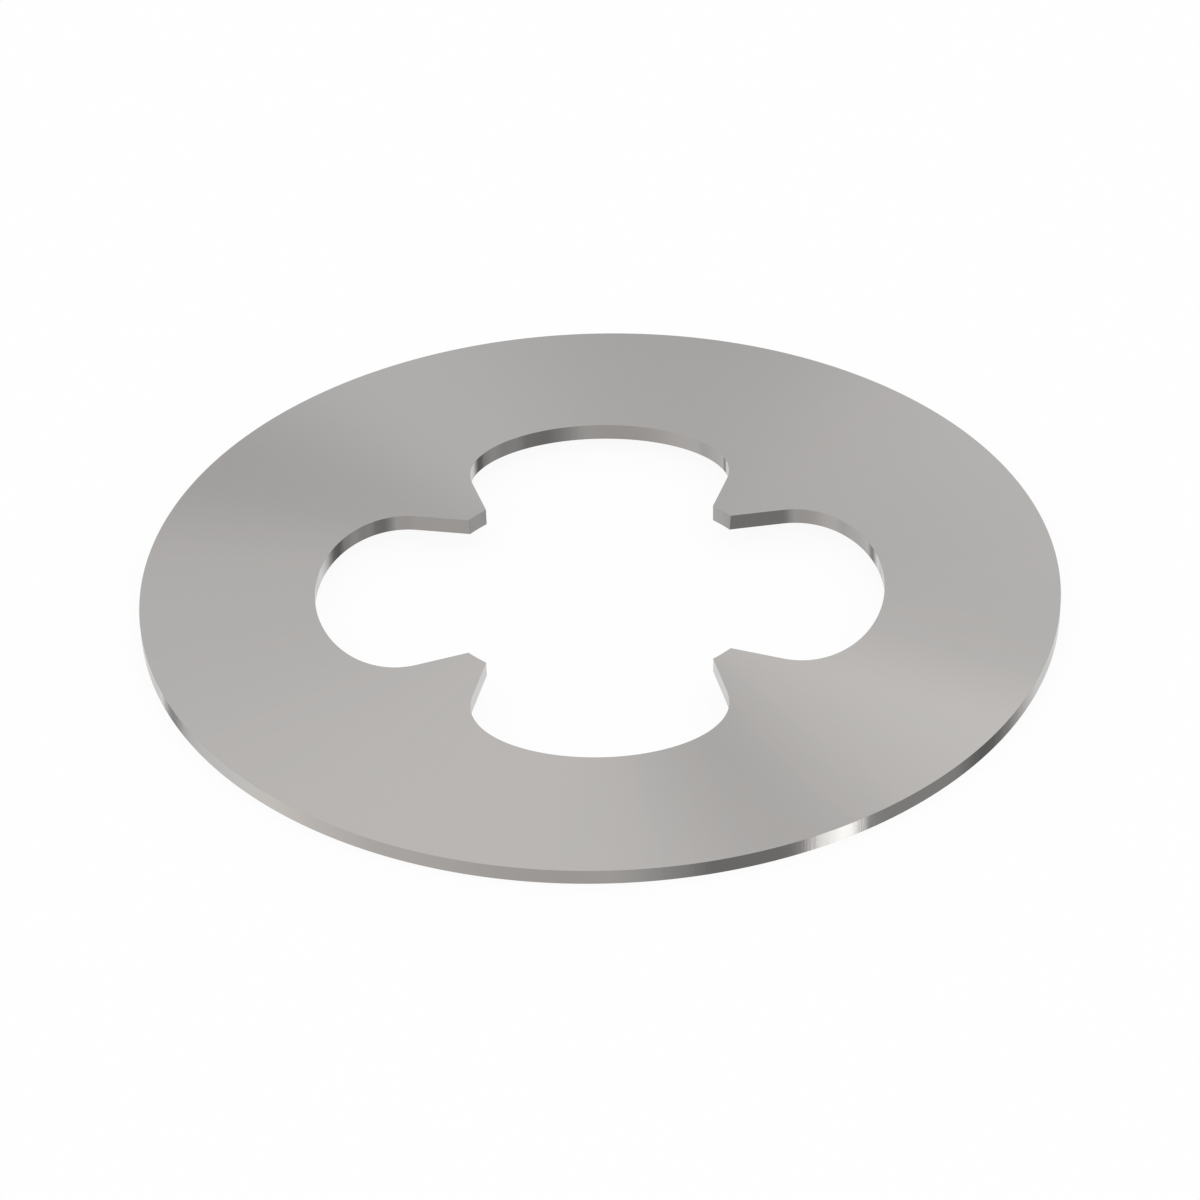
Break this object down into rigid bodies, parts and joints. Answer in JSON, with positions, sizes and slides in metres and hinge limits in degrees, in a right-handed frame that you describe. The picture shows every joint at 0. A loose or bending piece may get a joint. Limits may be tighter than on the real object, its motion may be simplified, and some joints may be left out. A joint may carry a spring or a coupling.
{
  "type": "disc spring",
  "caption": "Shallow conical disc spring of thin spring steel, its hole opened out by rounded lobes that leave tongues reaching in to a bore.",
  "frame": {"origin": "on the spring's axis, in the plane of the lower outer edge that the spring rests on", "axes": "+Z along the spring's axis, from the resting outer edge towards the raised tongues; the lobes lie along X and Y"},
  "size_m": [0.05, 0.05, 0.0021],
  "materials": {
    "spring_steel": "satin"
  },
  "bodies": {
    "root": {"disc_spring": "spring_steel"}
  },
  "joints": []
}
